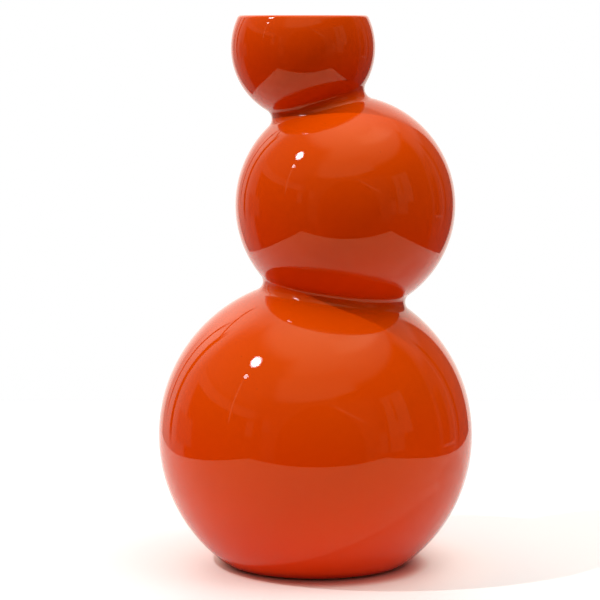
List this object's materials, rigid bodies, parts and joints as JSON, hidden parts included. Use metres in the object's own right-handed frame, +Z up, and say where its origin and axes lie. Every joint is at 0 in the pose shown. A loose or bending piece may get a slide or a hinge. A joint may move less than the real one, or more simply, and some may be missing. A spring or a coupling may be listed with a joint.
{
  "type": "gourd vase",
  "caption": "Glazed ceramic gourd vase of round bulbs stacked off centre, leaning one way and then the other, with a wide round-lipped mouth and a bare foot ring.",
  "frame": {"origin": "centre of the foot, on the table", "axes": "+Z up through the lower bulb, +X towards the side that the middle bulb leans to, +Y away from the front view"},
  "size_m": [0.2418, 0.2418, 0.4199],
  "materials": {
    "glaze": "glossy orange-red glaze",
    "bare_clay": "bare fired clay"
  },
  "bodies": {
    "root": {"lower_bulb": "glaze", "middle_bulb": "glaze", "upper_bowl": "glaze", "lower_luting_ring": "glaze", "upper_luting_ring": "glaze", "foot_ring": "bare_clay"}
  },
  "joints": []
}
